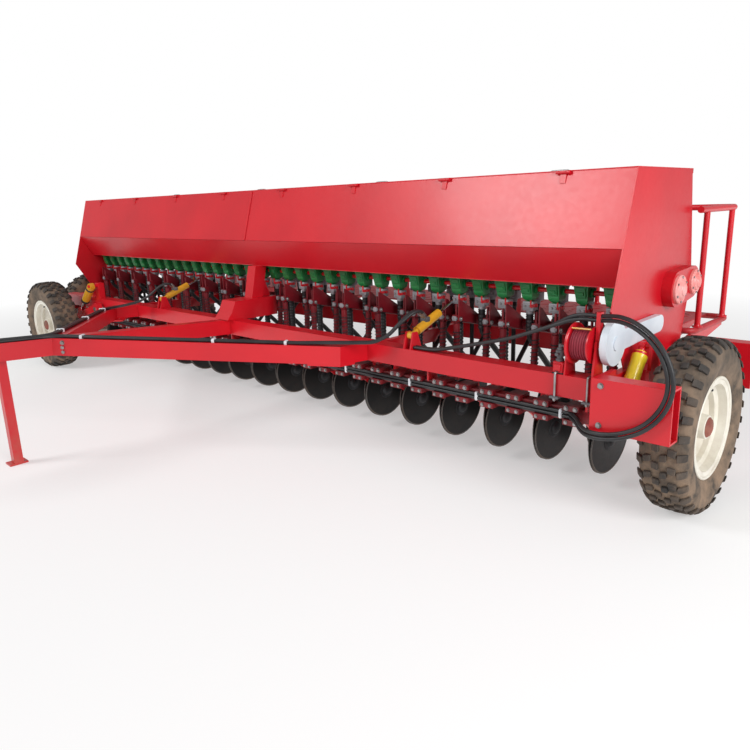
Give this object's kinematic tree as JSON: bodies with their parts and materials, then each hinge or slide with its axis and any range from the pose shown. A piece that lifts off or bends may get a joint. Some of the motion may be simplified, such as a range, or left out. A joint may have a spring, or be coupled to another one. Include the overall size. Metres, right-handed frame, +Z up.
{
  "type": "trailed disc grain drill",
  "caption": "Wide red towed grain drill with a long seed and fertiliser hopper, double-disc openers hung from a gang bar, A-frame drawbar, end wheels and rear footboard.",
  "frame": {"origin": "middle of the footprint on the ground", "axes": "+X to the right end of the machine, +Y rearwards, drawbar towards -Y, +Z up"},
  "size_m": [6.258, 3.8026, 1.52],
  "materials": {
    "bare_steel": "brushed",
    "black_hose": "satin",
    "cast_grey": "rough",
    "chrome_rod": "polished",
    "disc_steel": "satin",
    "galvanised": "satin",
    "green_plastic": "satin",
    "red_paint": "gloss",
    "rim_paint": "satin",
    "step_plate": "satin",
    "tyre_rubber": "matte",
    "yellow_paint": "gloss"
  },
  "bodies": {
    "frame": {"centre_member": "red_paint", "chain_guard": "galvanised", "cylinder_lugs": "red_paint", "drawbar_centre": "red_paint", "drawbar_left_arm": "red_paint", "drawbar_right_arm": "red_paint", "drive_cases": "red_paint", "fertiliser_meters": "cast_grey", "footboard": "step_plate", "front_beam": "red_paint", "gang_bar": "red_paint", "gang_clamps": "red_paint", "gang_hangers": "red_paint", "handrail": "red_paint", "hopper_divider": "red_paint", "hopper_ends": "red_paint", "hopper_floor": "red_paint", "hopper_front_lower": "red_paint", "hopper_front_upper": "red_paint", "hopper_rear_lower": "red_paint", "hopper_rear_upper": "red_paint", "hose_loop_a": "black_hose", "hose_loop_b": "black_hose", "hoses": "black_hose", "land_axles": "red_paint", "pivot_pins": "bare_steel", "rear_beam": "red_paint", "rear_brackets": "red_paint", "rock_bearings": "red_paint", "seed_meters": "green_plastic", "seed_tubes": "black_hose", "side_rails": "red_paint", "tongue": "red_paint", "tow_sockets": "red_paint"},
    "lid_left": {"lid_left": "red_paint"},
    "lid_right": {"lid_right": "red_paint"},
    "jack": {"jack_leg": "red_paint"},
    "wheel_land_right": {"tyre_land_right": "tyre_rubber", "rim_land_right": "rim_paint"},
    "wheel_land_left": {"tyre_land_left": "tyre_rubber", "rim_land_left": "rim_paint"},
    "wheel_transport_front": {"tyre_transport_front": "tyre_rubber", "rim_transport_front": "rim_paint"},
    "wheel_transport_rear": {"tyre_transport_rear": "tyre_rubber", "rim_transport_rear": "rim_paint"},
    "arm_transport_front": {"transport_arm_front": "red_paint"},
    "arm_transport_rear": {"transport_arm_rear": "red_paint"},
    "barrel_transport_front": {"transport_barrel_front": "yellow_paint"},
    "barrel_transport_rear": {"transport_barrel_rear": "yellow_paint"},
    "rod_transport_front": {"transport_rod_front": "chrome_rod"},
    "rod_transport_rear": {"transport_rod_rear": "chrome_rod"},
    "openers_front": {"opener_arms_front": "red_paint", "opener_discs_front": "disc_steel"},
    "openers_rear": {"opener_arms_rear": "red_paint", "opener_discs_rear": "disc_steel"},
    "rods_front": {"pressure_rods_front": "red_paint"},
    "rods_rear": {"pressure_rods_rear": "red_paint"},
    "rockshaft": {"rockshaft": "red_paint"},
    "lift_barrels": {"lift_cylinder_barrels": "yellow_paint"},
    "lift_rods": {"lift_cylinder_rods": "chrome_rod"}
  },
  "joints": [
    {"name": "openers_front_lift", "type": "hinge", "parent": "frame", "child": "openers_front", "pos_m": [0, 0.43136, 0.44], "axis": [-1, 0, 0], "range_deg": [0, 24.87], "deforming": ["seed_tubes"]},
    {"name": "openers_rear_lift", "type": "hinge", "parent": "frame", "child": "openers_rear", "pos_m": [0, 0.43136, 0.44], "axis": [-1, 0, 0], "range_deg": [-0.5, 10.79]},
    {"name": "rockshaft_turn", "type": "hinge", "parent": "frame", "child": "rockshaft", "pos_m": [0, 0.77636, 0.75], "axis": [1, 0, 0], "range_deg": [-0.5, 25.8]},
    {"name": "rods_front_swing", "type": "hinge", "parent": "openers_front", "child": "rods_front", "pos_m": [0, 0.60737, 0.44], "axis": [1, 0, 0], "range_deg": [-0.5, 21.61]},
    {"name": "rods_rear_swing", "type": "hinge", "parent": "openers_rear", "child": "rods_rear", "pos_m": [0, 0.66136, 0.44], "axis": [1, 0, 0], "range_deg": [-0.5, 9.26]},
    {"name": "lift_barrels_swing", "type": "hinge", "parent": "frame", "child": "lift_barrels", "pos_m": [0, 0.33137, 0.715], "axis": [-1, 0, 0], "range_deg": [-0.5, 2.99]},
    {"name": "lift_rods_slide", "type": "slide", "parent": "lift_barrels", "child": "lift_rods", "axis": [0, -0.9354, -0.3537], "range_m": [-0.001, 0.053]},
    {"name": "lid_left_hinge", "type": "hinge", "parent": "frame", "child": "lid_left", "pos_m": [0, 0.58537, 1.512], "axis": [1, 0, 0], "range_deg": [0, 100]},
    {"name": "lid_right_hinge", "type": "hinge", "parent": "frame", "child": "lid_right", "pos_m": [0, 0.58537, 1.512], "axis": [1, 0, 0], "range_deg": [0, 100]},
    {"name": "jack_fold", "type": "hinge", "parent": "frame", "child": "jack", "pos_m": [-0.07, -1.15864, 0.67861], "axis": [-1, 0, 0], "range_deg": [0, 88]},
    {"name": "wheel_land_right_spin", "type": "hinge", "parent": "frame", "child": "wheel_land_right", "pos_m": [3.024, 0.70137, 0.398], "axis": [1, 0, 0], "continuous": true},
    {"name": "wheel_land_left_spin", "type": "hinge", "parent": "frame", "child": "wheel_land_left", "pos_m": [-3.024, 0.70137, 0.398], "axis": [1, 0, 0], "continuous": true},
    {"name": "wheel_transport_front_spin", "type": "hinge", "parent": "arm_transport_front", "child": "wheel_transport_front", "pos_m": [-2.52, 0.04136, 0.398], "axis": [0, 1, 0], "continuous": true},
    {"name": "wheel_transport_rear_spin", "type": "hinge", "parent": "arm_transport_rear", "child": "wheel_transport_rear", "pos_m": [-2.52, 1.48137, 0.398], "axis": [0, 1, 0], "continuous": true},
    {"name": "arm_transport_front_swing", "type": "hinge", "parent": "frame", "child": "arm_transport_front", "pos_m": [-1.98, 0.24637, 0.56], "axis": [0, 1, 0], "range_deg": [-12, 25]},
    {"name": "transport_barrel_front_swing", "type": "hinge", "parent": "frame", "child": "barrel_transport_front", "pos_m": [-2.05, 0.24637, 0.76], "axis": [0, 1, 0], "range_deg": [-13, 26]},
    {"name": "transport_rod_front_slide", "type": "slide", "parent": "barrel_transport_front", "child": "rod_transport_front", "axis": [-0.7633, 0, -0.646], "range_m": [-0.0896, 0.044]},
    {"name": "arm_transport_rear_swing", "type": "hinge", "parent": "frame", "child": "arm_transport_rear", "pos_m": [-1.98, 1.27636, 0.56], "axis": [0, 1, 0], "range_deg": [-12, 25]},
    {"name": "transport_barrel_rear_swing", "type": "hinge", "parent": "frame", "child": "barrel_transport_rear", "pos_m": [-2.05, 1.27636, 0.76], "axis": [0, 1, 0], "range_deg": [-13, 26]},
    {"name": "transport_rod_rear_slide", "type": "slide", "parent": "barrel_transport_rear", "child": "rod_transport_rear", "axis": [-0.7633, 0, -0.646], "range_m": [-0.0896, 0.044]}
  ],
  "couplings": [
    {"joint": "openers_rear_lift", "follows": "openers_front_lift", "ratio": 0.41364},
    {"joint": "rockshaft_turn", "follows": "openers_front_lift", "ratio": 1.0173},
    {"joint": "rods_front_swing", "follows": "openers_front_lift", "ratio": 0.84884},
    {"joint": "rods_rear_swing", "follows": "openers_front_lift", "ratio": 0.35223},
    {"joint": "lift_barrels_swing", "follows": "openers_front_lift", "ratio": 0.10009},
    {"joint": "lift_rods_slide", "follows": "openers_front_lift", "m_per_rad": 0.11987},
    {"joint": "transport_barrel_front_swing", "follows": "arm_transport_front_swing", "ratio": 0.8299},
    {"joint": "transport_rod_front_slide", "follows": "arm_transport_front_swing", "m_per_rad": -0.20068},
    {"joint": "transport_barrel_rear_swing", "follows": "arm_transport_rear_swing", "ratio": 0.8299},
    {"joint": "transport_rod_rear_slide", "follows": "arm_transport_rear_swing", "m_per_rad": -0.20068}
  ]
}
